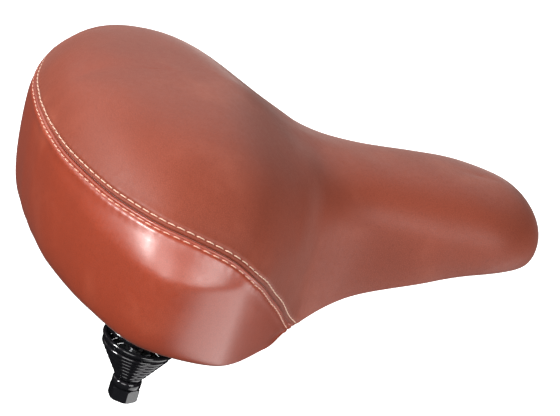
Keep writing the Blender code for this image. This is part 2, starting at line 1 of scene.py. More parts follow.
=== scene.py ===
"""Looks of a wide sprung bicycle saddle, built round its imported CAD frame.

Metres, in the CAD's own frame: X runs forward to the nose, Y to the rider's left, Z up. The cover
is sewn from two panels, blown up a little by a cloth simulation, turned under a moulded base and
stapled to it. Under it are the wire frame, two coil springs and the seatpost clamp.
"""

import json
import math

import bpy
import numpy as np
from mathutils import Matrix, Vector
from mathutils.bvhtree import BVHTree
from mathutils.kdtree import KDTree

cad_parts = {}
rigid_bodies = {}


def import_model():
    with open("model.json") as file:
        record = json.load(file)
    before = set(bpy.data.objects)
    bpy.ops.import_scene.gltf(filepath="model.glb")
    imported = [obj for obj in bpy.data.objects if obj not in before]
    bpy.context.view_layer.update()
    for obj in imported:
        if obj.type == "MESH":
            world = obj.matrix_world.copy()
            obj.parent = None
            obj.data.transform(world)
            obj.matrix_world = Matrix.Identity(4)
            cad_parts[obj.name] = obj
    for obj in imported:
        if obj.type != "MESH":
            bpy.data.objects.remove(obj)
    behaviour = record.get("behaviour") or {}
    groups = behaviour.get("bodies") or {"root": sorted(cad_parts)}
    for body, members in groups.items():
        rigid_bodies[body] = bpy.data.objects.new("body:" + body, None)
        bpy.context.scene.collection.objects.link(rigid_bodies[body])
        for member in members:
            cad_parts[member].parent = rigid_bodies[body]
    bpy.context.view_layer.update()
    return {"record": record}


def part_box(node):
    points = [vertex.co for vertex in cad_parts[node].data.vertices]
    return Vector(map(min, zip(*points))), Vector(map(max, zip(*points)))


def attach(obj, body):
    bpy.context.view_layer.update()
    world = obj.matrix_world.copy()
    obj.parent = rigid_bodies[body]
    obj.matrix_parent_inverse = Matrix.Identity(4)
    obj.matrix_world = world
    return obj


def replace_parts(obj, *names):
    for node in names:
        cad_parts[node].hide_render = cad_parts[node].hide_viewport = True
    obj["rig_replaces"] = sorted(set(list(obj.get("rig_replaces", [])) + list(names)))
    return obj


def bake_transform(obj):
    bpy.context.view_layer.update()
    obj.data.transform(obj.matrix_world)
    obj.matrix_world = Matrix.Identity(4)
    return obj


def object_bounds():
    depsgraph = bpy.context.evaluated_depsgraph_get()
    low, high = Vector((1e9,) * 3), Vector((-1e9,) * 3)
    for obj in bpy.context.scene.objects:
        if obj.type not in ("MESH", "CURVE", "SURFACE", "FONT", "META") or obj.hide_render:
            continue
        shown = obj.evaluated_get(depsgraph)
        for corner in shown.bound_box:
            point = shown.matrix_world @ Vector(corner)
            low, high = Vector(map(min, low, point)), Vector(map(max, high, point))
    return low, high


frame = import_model()


def centre_of(node):
    low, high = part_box(node)
    return (Vector(low) + Vector(high)) / 2


MM = 0.001

# ---------------------------------------------------------------- the seat's form

# The left half of the widest line seen from above, nose to tail, as (x, y)
OUTLINE = np.array([
    (0.1390, 0.0), (0.1325, 0.0267), (0.1094, 0.0429), (0.0783, 0.0435), (0.0348, 0.0409),
    (0.0075, 0.0535), (-0.0146, 0.0824), (-0.0503, 0.1197), (-0.0881, 0.1214),
    (-0.1095, 0.0894), (-0.1229, 0.0477), (-0.1266, 0.0170), (-0.1270, 0.0),
])
SPINE_REAR, SPINE_FRONT = -0.0722, 0.1017
# Heights of the spine the flanks fall away from, and of its top once the valley on it is filled
SPINE_X = [-0.124, -0.072, -0.038, 0.0, 0.038, 0.0765, 0.1017, 0.134]
SPINE_Z = [0.1290, 0.1290, 0.1300, 0.1126, 0.1084, 0.1081, 0.1065, 0.1065]
SPINE_TOP = [0.1308, 0.1308, 0.1317, 0.1128, 0.1071, 0.1067, 0.1052, 0.1052]
# Values at the nose, the same behind it, the waist, the wings and the tail
STATIONS = [0.0, 0.2, 0.42, 0.66, 1.0]
WIDEST_Z = [0.0793, 0.0793, 0.0828, 0.0795, 0.0888]
RIM_Z = [0.0668, 0.0668, 0.0300, 0.0409, 0.0408]
TUCK = [0.0063, 0.0063, 0.0042, 0.0088, 0.0090]
ROUNDNESS = [2.12, 2.12, 2.29, 1.44, 2.56]
DOME = [0.0, 0.0, 0.0, 0.0142, 0.0030]
# How far out the valley on the spine is rounded, as a share of the half width
SPINE_SOFTNESS = 0.34
# The seam leaves the rim at SEAM_START and climbs to these heights
SEAM_START = 0.411
SEAM_STATIONS = [SEAM_START, 0.468, 0.518, 0.553, 0.585, 0.62, 0.67, 0.76, 0.88, 1.0, 1.12]
SEAM_Z = [0.0300, 0.0458, 0.0633, 0.0788, 0.0890, 0.0952, 0.0990, 0.0987, 0.0987, 0.0989, 0.0987]
# The surface's normal is measured over this step, and read no nearer to the spine or the rim
NORMAL_STEP = 0.003
NORMAL_FIRST, NORMAL_LAST = 0.03, 1.85

# The moulded base and the foam on it
TRAY_Z = 0.071
SHELL_THICKNESS = 0.003
SHELL_EDGE_INSET = 0.0060
FLANGE_INSET = 0.0105
FLANGE_RISE = 0.0024
WALL_POWER = 8
SPRING_SEAT = 0.062
BOSS_RADIUS = 0.0188
SPIGOT_RADIUS = 0.0135
SPIGOT_DROP = 0.0037
FOAM_INSET = 0.0040

# The wire frame, with the eyes under the springs
WIRE_RADIUS = 0.0035
RAIL_Y, RAIL_Z = 0.022, 0.030
CROSSBAR_Y = 0.017
RAIL_FRONT_X, RAIL_REAR_X = 0.012, -0.055
RAIL_DROP = (-0.0595, 0.032)
BEND, LONG_BEND, FOOT_BEND = 0.008, 0.025, 0.010
EYE_RADIUS, EYE_TOP, EYE_BOTTOM = 0.0072, -0.0025, -0.0065
BOLT_RADIUS = 0.004
GAP = 0.0003                    # left between parts that would touch

SPRING_WIRE = 0.00135
SPRING_FOOT_RADIUS = 0.0057
SPRING_RADIUS = 0.0165
CONE_TURNS, CONE_TOP = 7, 0.0155
BARREL_TURNS = 7.75
TURN_STEPS = 32

SPRING_X, SPRING_Y = centre_of("spring_bolt_left").xy
hinge = next(j for j in frame["record"]["behaviour"]["joints"] if j["name"] == "seat_suspension")
CROSSBAR_X, _, CROSSBAR_Z = hinge["pos_m"]


def through(knots, values, at):
    """A smooth curve through (knot, value) pairs, read at many places at once."""
    knots, values, at = np.asarray(knots), np.asarray(values), np.asarray(at, float)
    last = len(knots) - 1
    index = np.arange(last + 1)
    low, high = np.maximum(index - 1, 0), np.minimum(index + 1, last)
    slope = (values[high] - values[low]) / (knots[high] - knots[low])
    k = np.clip(np.searchsorted(knots, at, side="right") - 1, 0, last - 1)
    span = knots[k + 1] - knots[k]
    u = np.clip((at - knots[k]) / span, 0.0, 1.0)
    return (values[k] * (2 * u**3 - 3 * u**2 + 1) + values[k + 1] * (3 * u**2 - 2 * u**3)
            + span * slope[k] * (u**3 - 2 * u**2 + u) + span * slope[k + 1] * (u**3 - u**2))


def along(values, t):
    """Values given at STATIONS, mirrored past the tail so that the two sides meet smoothly."""
    return through([*STATIONS, 2 - STATIONS[-2]], [*values, values[-2]], t)


def side_of(w):
    """w runs round the seat: 0 nose, 1 tail, 2 nose again. Gives t, nose to tail, and a sign."""
    w = np.mod(w, 2.0)
    return np.where(w <= 1, w, 2 - w), np.where(w <= 1, 1.0, -1.0)


def outline(t):
    """The widest line's x and y, carried on past both ends by its mirror image."""
    step = 1 / (len(OUTLINE) - 1)
    knots = step * np.arange(-1, len(OUTLINE) + 1)
    flip = np.array([1.0, -1.0])
    points = np.vstack([OUTLINE[1] * flip, OUTLINE, OUTLINE[-2] * flip])
    return through(knots, points[:, 0], t), through(knots, points[:, 1], t)


def spine(x):
    """The x on the spine that a point of the outline is joined to."""
    share = (x - OUTLINE[-1, 0]) / (OUTLINE[0, 0] - OUTLINE[-1, 0])
    return SPINE_REAR + (SPINE_FRONT - SPINE_REAR) * share


def crown(t, out, peak):
    """Height of the upper half, a share out of the way from the spine to the widest line."""
    widest, power = along(WIDEST_Z, t), 2 / along(ROUNDNESS, t)
    rounded = np.hypot(out, SPINE_SOFTNESS * (1 - out**2))
    level = np.arcsin(np.clip(rounded, 0.0, 1.0)**(1 / power))
    up = np.maximum(np.cos(level), 0.0)**power
    return widest + (peak - widest) * up + along(DOME, t) * np.sin(2 * level)**2


def cover(w, s):
    """Points of the cover: s is 0 on the spine, 1 on the widest line and 2 on the rim."""
    w, s = np.broadcast_arrays(np.asarray(w, float), np.asarray(s, float))
    t, side = side_of(w)
    x, y = outline(t)
    middle = spine(x)
    out = np.sin(np.clip(s, 0.0, 1.0) * np.pi / 2)**(2 / along(ROUNDNESS, t))
    angle = np.maximum(s - 1, 0.0) * np.pi / 2
    inward = along(TUCK, t) * (1 - np.cos(angle)) / np.hypot(x - middle, y)
    peak = through(SPINE_X, SPINE_Z, middle)
    fill = through(SPINE_X, SPINE_TOP, middle) - crown(t, np.zeros_like(out), peak)
    drop = (along(WIDEST_Z, t) - along(RIM_Z, t)) * np.sin(angle)
    height = crown(t, out, peak) + fill * (1 - out**2)**2 - drop
    reach = out - inward
    return np.stack([middle + (x - middle) * reach, y * reach * side, height], -1)


def unit(vectors):
    """The same directions with a length of 1."""
    return vectors / np.maximum(np.linalg.norm(vectors, axis=-1, keepdims=True), 1e-12)


def cover_normal(w, s):
    """Which way is out of the cover."""
    s = np.clip(s, NORMAL_FIRST, NORMAL_LAST)
    across = cover(w, s + NORMAL_STEP) - cover(w, s - NORMAL_STEP)
    lengthwise = cover(np.add(w, NORMAL_STEP), s) - cover(np.subtract(w, NORMAL_STEP), s)
    return unit(np.cross(across, lengthwise))


def rim(w, inset, rise):
    """Points level with the rim plus rise, moved in square to the rim's own line."""
    w, inset, rise = np.broadcast_arrays(*[np.asarray(v, float) for v in (w, inset, rise)])
    step = 0.004
    ahead = cover(w + step, 2.0) - cover(w - step, 2.0)
    inward = unit(np.stack([-ahead[..., 1], ahead[..., 0]], -1))
    point = cover(w, 2.0)
    point[..., :2] += inward * inset[..., None]
    point[..., 2] += rise
    return point


def tray(w, share, inset, rise):
    """Under the seat: share is 0 on the centre line and 1 where the wall meets the flange."""
    w, share = np.broadcast_arrays(np.asarray(w, float), np.asarray(share, float))
    foot = rim(w, inset, rise)
    t, _ = side_of(w)
    middle = spine(outline(t)[0])
    height = foot[..., 2] + (TRAY_Z - along(RIM_Z, t) - FLANGE_RISE) * (1 - share**WALL_POWER)
    return np.stack([middle + (foot[..., 0] - middle) * share, foot[..., 1] * share, height], -1)


def seam_line():
    """Stations behind SEAM_START, and how deep the seam runs at each of them."""
    stations = np.linspace(SEAM_START, 1.0, 600)
    depths = np.linspace(2.0, 0.0, 1600)
    climbs = np.maximum.accumulate(cover(stations[:, None], depths[None])[..., 2], axis=1)
    wanted = through(SEAM_STATIONS, SEAM_Z, stations)
    return stations, np.array([np.interp(z, climb, depths) for z, climb in zip(wanted, climbs)])


SEAM_LINE = seam_line()


def seam_depth(w):
    """How deep the seam runs: 0 is the spine, 1 the widest line and 2 the rim."""
    t, _ = side_of(w)
    return np.where(t > SEAM_START, np.interp(t, *SEAM_LINE), 2.0)


def smooth(low, high, value):
    """0 up to low, 1 from high on, and a smooth step between them."""
    u = np.clip((value - low) / (high - low), 0.0, 1.0)
    return u * u * (3 - 2 * u)


# ---------------------------------------------------------------- mesh making

def mesh_object(name, points, faces, sharp=None):
    """A smooth-shaded object. Edges that bend by more than sharp degrees stay hard."""
    mesh = bpy.data.meshes.new(name)
    mesh.from_pydata([tuple(p) for p in points], [], faces)
    mesh.update()
    mesh.shade_smooth()
    if sharp:
        mesh.set_sharp_from_angle(angle=math.radians(sharp))
    obj = bpy.data.objects.new(name, mesh)
    bpy.context.scene.collection.objects.link(obj)
    return obj


def ring_index(columns, rows, last_shared=False):
    """Vertex numbers of a closed ring of columns.

    Columns that face each other share the points of their first row, which lies on the spine.
    """
    index = np.arange(columns * rows).reshape(columns, rows)
    facing = (-np.arange(columns)) % columns
    shared = np.minimum(np.arange(columns), facing)
    index[:, 0] = index[shared, 0]
    if last_shared:
        index[:, -1] = index[shared, -1]
    return index


def grid_faces(index, closed):
    """Quads between neighbouring columns, with the corners that coincide left out."""
    following = np.roll(index, -1, axis=0) if closed else index[1:]
    own = index if closed else index[:-1]
    corners = np.stack([own[:, :-1], own[:, 1:], following[:, 1:], following[:, :-1]], -1)
    faces = []
    for quad in corners.reshape(-1, 4).tolist():
        face = [v for k, v in enumerate(quad) if v != quad[k - 1]]
        if len(face) > 2 and len(set(face)) == len(face):
            faces.append(face)
    return faces


def used_points(faces, count):
    """The numbers of the points that faces use, and where each of count points is among them."""
    used = np.unique([v for face in faces for v in face])
    place = np.full(count, -1)
    place[used] = np.arange(len(used))
    return used, place


def renumbered(faces, place):
    return [[int(place[v]) for v in face] for face in faces]


def compact(points, faces):
    """Leaves out the points that no face uses."""
    points = np.asarray(points).reshape(-1, 3)
    used, place = used_points(faces, len(points))
    return points[used], renumbered(faces, place)


def sweep(path, radii, sides, flat=1.0):
    """A closed tube along a path.

    radii is one number, or one for each point. flat is its height's share of its width.
    """
    path = np.asarray(path, float)
    count = len(path)
    radii = np.broadcast_to(np.asarray(radii, float), (count,))
    flat = np.broadcast_to(np.asarray(flat, float), (count,))
    ahead = unit(np.gradient(path, axis=0))
    up = np.array([0.0, 0.0, 1.0])
    if abs(ahead[0] @ up) > 0.9:
        up = np.array([1.0, 0.0, 0.0])
    angles = 2 * np.pi * np.arange(sides) / sides
    rings = []
    for k in range(count):
        up = up - ahead[k] * (up @ ahead[k])
        up /= np.linalg.norm(up)
        across = np.cross(ahead[k], up)
        rings.append(path[k] + radii[k] * (np.cos(angles)[:, None] * across
                                           + np.sin(angles)[:, None] * flat[k] * up))
    return np.vstack(rings), tube_faces(np.arange(count * sides).reshape(count, sides))


def tube_faces(index):
    """Quads round a tube whose rings are index's rows, and a face across each end."""
    following = np.roll(index, -1, axis=1)
    quads = np.stack([index[:-1], following[:-1], following[1:], index[1:]], -1)
    return quads.reshape(-1, 4).tolist() + [index[0][::-1].tolist(), index[-1].tolist()]


def lathe(profile, centre, steps):
    """A closed profile of (radius, z) points, turned about a vertical axis.

    It may start and end on the axis.
    """
    profile = np.asarray(profile, float)
    angles = 2 * np.pi * np.arange(steps) / steps
    ring = np.stack([np.cos(angles), np.sin(angles)], -1)
    points, numbers = [], []
    for radius, z in profile:
        if radius < 1e-9:
            numbers.append([len(points)] * steps)
            points.append((centre[0], centre[1], z))
        else:
            numbers.append(list(range(len(points), len(points) + steps)))
            points += [(centre[0] + radius * c, centre[1] + radius * s, z) for c, s in ring]
    numbers = np.array(numbers)
    faces = []
    for low, high in zip(numbers, numbers[1:]):
        for i in range(steps):
            quad = [low[i], low[(i + 1) % steps], high[(i + 1) % steps], high[i]]
            face = [int(v) for k, v in enumerate(quad) if v != quad[k - 1]]
            if len(face) > 2:
                faces.append(face)
    return points, faces


def gathered(name, pieces, sharp=None):
    """One object from several (points, faces) solids."""
    points, faces = [], []
    for own, own_faces in pieces:
        start = len(points)
        points += [tuple(p) for p in own]
        faces += [[start + v for v in face] for face in own_faces]
    return mesh_object(name, points, faces, sharp)


def applied(obj):
    """Bakes an object's modifiers into its mesh."""
    graph = bpy.context.evaluated_depsgraph_get()
    mesh = bpy.data.meshes.new_from_object(obj.evaluated_get(graph))
    obj.modifiers.clear()
    old, obj.data = obj.data, mesh
    bpy.data.meshes.remove(old)
    mesh.name = obj.name
    return obj


def thicken(obj, thickness, offset):
    """Gives a skin its thickness: offset is -1 to its inside and 1 to its outside."""
    modifier = obj.modifiers.new("thickness", "SOLIDIFY")
    modifier.thickness = thickness
    modifier.offset = offset
    modifier.use_quality_normals = True
    return applied(obj)


def finish_piece(obj, look, body, replaces=()):
    """Gives a piece its material, its body and the CAD nodes it stands for."""
    obj.data.materials.clear()
    obj.data.materials.append(look)
    if body:
        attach(obj, body)
    if replaces:
        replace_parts(obj, *replaces)


# ---------------------------------------------------------------- materials

def srgb(*channels):
    """Scene-linear colour of a screen colour whose channels run from 0 to 255."""
    return [((c / 255 + 0.055) / 1.055)**2.4 if c > 10 else c / 255 / 12.92 for c in channels]


class Look:
    """A Principled material with colour, roughness and bump from noise in the object's metres."""

    def __init__(self, name, **values):
        self.material = bpy.data.materials.new(name)
        self.material.use_nodes = True
        self.tree = self.material.node_tree
        self.shader = self.tree.nodes["Principled BSDF"]
        for key, value in values.items():
            self.shader.inputs[key.replace("_", " ")].default_value = value
        self.place = self.tree.nodes.new("ShaderNodeTexCoord").outputs["Object"]

    def link(self, source, target):
        self.tree.links.new(source, target)

    def noise(self, scale, detail=3.0, roughness=0.55, stretch=(1, 1, 1)):
        mapping = self.tree.nodes.new("ShaderNodeMapping")
        mapping.inputs["Scale"].default_value = stretch
        self.link(self.place, mapping.inputs["Vector"])
        node = self.tree.nodes.new("ShaderNodeTexNoise")
        node.inputs["Scale"].default_value = scale
        node.inputs["Detail"].default_value = detail
        node.inputs["Roughness"].default_value = roughness
        self.link(mapping.outputs["Vector"], node.inputs["Vector"])
        return node.outputs["Fac"]

    def cells(self, scale, feature="DISTANCE_TO_EDGE"):
        node = self.tree.nodes.new("ShaderNodeTexVoronoi")
        node.feature = feature
        node.inputs["Scale"].default_value = scale
        self.link(self.place, node.inputs["Vector"])
        return node.outputs["Distance"]

    def ramp(self, value, stops):
        """A colour for each value, from (position, colour) stops."""
        node = self.tree.nodes.new("ShaderNodeValToRGB")
        ramp = node.color_ramp
        while len(ramp.elements) < len(stops):
            ramp.elements.new(0.5)
        for element, (position, colour) in zip(ramp.elements, stops):
            element.position = position
            element.color = (*colour, 1.0)
        self.link(value, node.inputs["Fac"])
        return node.outputs["Color"]

    def between(self, value, low, high):
        """Spreads the middle of a noise, 0.3 to 0.7, from low to high."""
        node = self.tree.nodes.new("ShaderNodeMapRange")
        ends = {"From Min": 0.3, "From Max": 0.7, "To Min": low, "To Max": high}
        for key, number in ends.items():
            node.inputs[key].default_value = number
        self.link(value, node.inputs["Value"])
        return node.outputs["Result"]

    def multiply(self, first, second):
        node = self.tree.nodes.new("ShaderNodeMix")
        node.data_type = "RGBA"
        node.blend_type = "MULTIPLY"
        node.inputs["Factor"].default_value = 1.0
        self.link(first, node.inputs["A"])
        self.link(second, node.inputs["B"])
        return node.outputs["Result"]

    def colour(self, source):
        self.link(source, self.shader.inputs["Base Color"])

    def roughness(self, source):
        self.link(source, self.shader.inputs["Roughness"])

    def bump(self, height, strength, distance):
        """Adds a bump on top of those already there."""
        node = self.tree.nodes.new("ShaderNodeBump")
        node.inputs["Strength"].default_value = strength
        node.inputs["Distance"].default_value = distance
        self.link(height, node.inputs["Height"])
        previous = self.shader.inputs["Normal"]
        if previous.links:
            self.link(previous.links[0].from_socket, node.inputs["Normal"])
        self.link(node.outputs["Normal"], previous)


def scaled(colour, share):
    return tuple(c * share for c in colour)


PEBBLES = 1150                  # cells of leather grain in a metre


def leather(name, colour, worn, roughness, grain, sheen, specular, coat):
    """Coated leather: a fine pebble grain with dark valleys, and slightly cloudy in colour."""
    look = Look(name, Sheen_Weight=sheen, Sheen_Roughness=0.35, Sheen_Tint=(1.0, 0.80, 0.74, 1.0),
                Specular_IOR_Level=specular, Coat_Weight=coat, Coat_Roughness=0.36)
    clouds = look.ramp(look.noise(26, 4),
                       [(0.32, scaled(colour, 0.93)), (0.55, colour), (0.72, worn)])
    valleys = look.ramp(look.cells(PEBBLES), [(0.0, (0.80, 0.76, 0.74)), (0.16, (1, 1, 1))])
    look.colour(look.multiply(clouds, valleys))
    look.roughness(look.between(look.noise(420, 3), roughness - 0.05, roughness + 0.06))
    look.bump(look.cells(PEBBLES), grain, 0.16 * MM)
    look.bump(look.noise(2600, 3), grain * 0.6, 0.08 * MM)
    look.bump(look.noise(95, 2), 0.04, 0.6 * MM)
    return look.material


def metal(name, colour, roughness, metallic, coat=0.0, brushed=(1, 1, 1), wear=None):
    """Painted or plated steel. brushed squeezes the noise along an axis, wear is a worn colour."""
    look = Look(name, Metallic=metallic, Coat_Weight=coat, Coat_Roughness=0.08)
    stops = [(0.30, scaled(colour, 0.82)), (0.62, colour)]
    if wear:
        stops.append((0.80, wear))
    look.colour(look.ramp(look.noise(160, 5, stretch=brushed), stops))
    scratches = look.noise(900, 4, stretch=brushed)
    look.roughness(look.between(scratches, roughness * 0.8, roughness * 1.3))
    look.bump(look.noise(700, 3, stretch=brushed), 0.12, 0.06 * MM)
    return look.material


def thread(name, colour):
    """Twisted polyester thread: a bright ply beside a darker one."""
    look = Look(name, Roughness=0.62, Sheen_Weight=0.2)
    look.colour(look.ramp(look.noise(2400, 2), [(0.35, scaled(colour, 0.78)), (0.60, colour)]))
    look.bump(look.noise(3800, 2), 0.5, 0.12 * MM)
    return look.material


def moulded(name):
    """Black moulded plastic with a fine spark-eroded texture."""
    look = Look(name, Specular_IOR_Level=0.45)
    look.colour(look.ramp(look.noise(70, 5),
                          [(0.30, (0.012, 0.012, 0.013)), (0.72, (0.022, 0.022, 0.024))]))
    look.roughness(look.between(look.noise(1300, 3), 0.42, 0.62))
    look.bump(look.noise(1900, 3), 0.45, 0.12 * MM)
    return look.material


def foamed(name):
    """Open-celled cream foam."""
    look = Look(name, Roughness=0.95)
    look.colour(look.ramp(look.noise(60, 5),
                          [(0.3, (0.60, 0.53, 0.38)), (0.7, (0.74, 0.68, 0.52))]))
    look.bump(look.cells(700, "F1"), 0.6, 0.6 * MM)
    return look.material


TOP_LEATHER = leather(
    "leather_top", srgb(146, 66, 44), worn=srgb(158, 78, 56),
    roughness=0.54, grain=0.60, sheen=0.24, specular=0.50, coat=0.0)
REAR_LEATHER = leather(
    "leather_rear", srgb(168, 68, 42), worn=srgb(178, 80, 54),
    roughness=0.40, grain=0.22, sheen=0.10, specular=0.90, coat=0.6)
CREAM_THREAD = thread("thread_cream", srgb(244, 205, 180))
PINK_THREAD = thread("thread_pink", srgb(240, 188, 164))
PLASTIC = moulded("shell_plastic")
FOAM = foamed("foam")
BLACK_PAINT = metal("black_paint", (0.010, 0.010, 0.012), 0.17, 0.0, coat=0.7)
SATIN_BLACK = metal("clamp_steel", (0.020, 0.020, 0.023), 0.36, 0.35, coat=0.25,
                    wear=(0.045, 0.045, 0.05))
ZINC = metal("zinc_steel", (0.56, 0.57, 0.59), 0.30, 1.0, brushed=(1, 1, 7))


# ---------------------------------------------------------------- cover

COLUMN_PITCH = 0.9 * MM         # between columns along the seam
NOSE_PITCH = 1.8 * MM           # and round the nose
STITCH_PITCH = 4.9 * MM
STITCH_OFFSET = 2.35 * MM       # from the seam to each row of stitches
TOP_STITCH, REAR_STITCH = 4.0 * MM, 3.1 * MM
THREAD_RADIUS = 0.35 * MM
# A stitch's course: shares of its length, and heights in millimetres over the leather
STITCH_COURSE = ((-0.5, -0.5), (-0.40, 0.02), (-0.2, 0.24), (0.2, 0.24), (0.40, 0.02), (0.5, -0.5))
LEATHER_THICKNESS = 1.1 * MM
# Rows of the mesh, by their distance from the seam: close together where its relief is
EDGE_ROWS = MM * np.array([
    0, 0.3, 0.6, 0.9, 1.25, 1.6, 1.95, 2.3, 2.65, 3.0, 3.5, 4.1, 5.0, 6.5, 8.5, 11.0])
TOP_ROWS, REAR_ROWS = 21, 25    # rows over the rest of each panel
HEM_INSET = MM * np.array([0.9, 1.9, 3.0, 4.6, 6.4, 8.2, 9.9])
HEM_RISE = 0.9 * MM             # how far the turned hem climbs to lie against the base
PLEAT_PITCH, PLEAT_DEPTH = 6.2 * MM, 0.55 * MM
# Where the hem is pleated: t, and how far to each side
PLEATED = ((0.0, 0.14), (0.60, 0.09), (0.72, 0.10))
SEAM_VALLEY = 0.95 * MM         # depth of the joint, where the folds start
FOLD_DEPTH = MM * np.array([0.35, 0.8, 1.3, 1.9, 2.5, 3.1, 3.7])
PUFF_COLUMNS, PUFF_ROWS = 112, 14
PUFF_PRESSURE = 4.0
PUFF_FRAMES = 20
PUFF_CAP = 2.4 * MM
PUFF_START = 1.1 * MM           # the panels start this far inside their form, and swell back to it


def even_columns(low, high, depth, pitch):
    """Values of t from low to high, evenly spaced along the line at this depth."""
    t = np.linspace(low, high, 1500)
    line = cover(t, depth(t))
    run = np.concatenate([[0], np.cumsum(np.linalg.norm(np.diff(line, axis=0), axis=1))])
    return np.interp(np.linspace(0, run[-1], max(int(run[-1] / pitch), 2) + 1), run, t)


def rows_between(w, start, end, count):
    """s values for each column: EDGE_ROWS from its start on, and count more over the rest of it."""
    dense = start[:, None] + (end - start)[:, None] * np.linspace(0, 1, 260)
    lengths = np.linalg.norm(np.diff(cover(w[:, None], dense), axis=1), axis=2)
    run = np.concatenate([np.zeros((len(w), 1)), np.cumsum(lengths, axis=1)], axis=1)
    rows = []
    for k in range(len(w)):
        length = run[k, -1]
        crowd = EDGE_ROWS * min(1.0, length / (2.2 * EDGE_ROWS[-1]))
        rest = np.linspace(crowd[-1], length, count + 1)[1:]
        rows.append(np.interp(np.concatenate([crowd, rest]), run[k], dense[k]))
    return np.array(rows)


def cloth_moves(grid, index, closed, held):
    """How far cloth with air behind it moves each point of a coarse panel. Held points stay."""
    faces = grid_faces(index, closed)
    flat = grid.reshape(-1, 3)
    used, place = used_points(faces, len(flat))
    obj = mesh_object("panel_form", flat[used], renumbered(faces, place))
    group = obj.vertex_groups.new(name="held")
    group.add([int(place[v]) for v in np.unique(index[held]) if place[v] >= 0], 1.0, "REPLACE")
    settings = obj.modifiers.new("cloth", "CLOTH").settings
    settings.quality = 6
    settings.mass = 0.25
    settings.tension_stiffness = settings.compression_stiffness = 25
    settings.bending_stiffness = 1.5
    settings.vertex_group_mass = "held"
    settings.use_pressure = True
    settings.uniform_pressure_force = PUFF_PRESSURE
    settings.effector_weights.gravity = 0
    scene = bpy.context.scene
    for number in range(1, PUFF_FRAMES + 1):
        scene.frame_set(number)
    mesh = obj.evaluated_get(bpy.context.evaluated_depsgraph_get()).to_mesh()
    moved = np.empty(len(mesh.vertices) * 3)
    mesh.vertices.foreach_get("co", moved)
    move = moved.reshape(-1, 3) - flat[used]
    length = np.maximum(np.linalg.norm(move, axis=1), 1e-9)
    move *= np.minimum(1.0, PUFF_CAP / length)[:, None]
    scene.frame_set(1)
    bpy.data.objects.remove(obj, do_unlink=True)
    return move[place[index]]


def puff(low, high, start_depth, end_depth, closed):
    """A field of cloth movement over one panel, read at (w, share of the way down it)."""
    w = np.linspace(low, high, PUFF_COLUMNS + 1)[:PUFF_COLUMNS if closed else None]
    share = np.linspace(0, 1, PUFF_ROWS + 1)
    start, end = start_depth(w), end_depth(w)
    s = start[:, None] + (end - start)[:, None] * share
    inside = np.cos(np.pi / 2 * share**3) if closed else np.sin(np.pi * share)**0.5
    sunk = cover_normal(w[:, None], s) * (PUFF_START * inside)[None, :, None]
    index = ring_index(*s.shape) if closed else np.arange(s.size).reshape(s.shape)
    held = np.zeros(s.shape, bool)
    held[:, -1] = True
    if not closed:
        held[:, 0] = held[0] = held[-1] = True
    move = cloth_moves(cover(w[:, None], s) - sunk, index, closed, held) - sunk
    if closed:
        w = np.append(w, high)
        move = np.concatenate([move, move[:1]])

    def read(at_w, at_share):
        column = np.interp(at_w, w, np.arange(len(w)))
        row = at_share * PUFF_ROWS
        i = np.minimum(column.astype(int), len(w) - 2)
        j = np.minimum(row.astype(int), PUFF_ROWS - 1)
        a, b = (column - i)[..., None], (row - j)[..., None]
        return (move[i, j] * (1 - a) * (1 - b) + move[i + 1, j] * a * (1 - b)
                + move[i, j + 1] * (1 - a) * b + move[i + 1, j + 1] * a * b)
    return read


class Seam:
    """The line between the panels, from the left rim round the tail to the right rim."""

    def __init__(self):
        self.w = np.linspace(SEAM_START + 1e-4, 2 - SEAM_START - 1e-4, 5000)
        self.points = cover(self.w, seam_depth(self.w))
        lengths = np.linalg.norm(np.diff(self.points, axis=0), axis=1)
        self.run = np.concatenate([[0], np.cumsum(lengths)])
        self.length = self.run[-1]
        self.stitches = round(self.length / STITCH_PITCH)
        self.pitch = self.length / self.stitches
        self.tree = KDTree(len(self.points))
        for k, point in enumerate(self.points):
            self.tree.insert(point, k)
        self.tree.balance()

    def nearest(self, points):
        """Distance from the seam, and how far along it, for each point."""
        found = [self.tree.find(point) for point in points.reshape(-1, 3)]
        run = np.array([self.run[k] for _, k, _ in found]).reshape(points.shape[:-1])
        distance = np.array([d for _, _, d in found]).reshape(points.shape[:-1])
        return distance, run

    def frame_at(self, run):
        """The point this far along the seam, the way ahead, the normal and the way across."""
        reach = 4
        k = int(np.clip(np.searchsorted(self.run, run), reach, len(self.run) - 1 - reach))
        ahead = unit(self.points[k + reach] - self.points[k - reach])
        w = np.interp(run, self.run, self.w)
        normal = cover_normal(w, seam_depth(w))
        normal = unit(normal - ahead * (normal @ ahead))
        here = np.array([np.interp(run, self.run, self.points[:, i]) for i in range(3)])
        return here, ahead, normal, np.cross(normal, ahead)


seam = Seam()


def bell(value, centre, width):
    """1 at the centre, falling off to both sides."""
    return np.exp(-((value - centre) / width)**2)


def seam_relief(distance, run, pull):
    """Height over the smooth form: the joint's valley, its lip, the stitched row and a swell."""
    d = distance / MM
    row = STITCH_OFFSET / MM
    hole = 0.5 + 0.5 * np.cos(2 * np.pi * run / seam.pitch)
    valley = -SEAM_VALLEY / MM * bell(d, 0, 0.42)
    lip = 0.32 * bell(d, 1.15, 0.62)
    stitched = (0.26 + 0.34 * hole) * bell(d, row, 0.50)
    swell = pull * (0.34 + 0.16 * (1 - hole)) * bell(d, row + 1.75, 1.25)
    return (valley + lip - stitched + swell - 0.22 * bell(d, 0, 4.5)) * MM


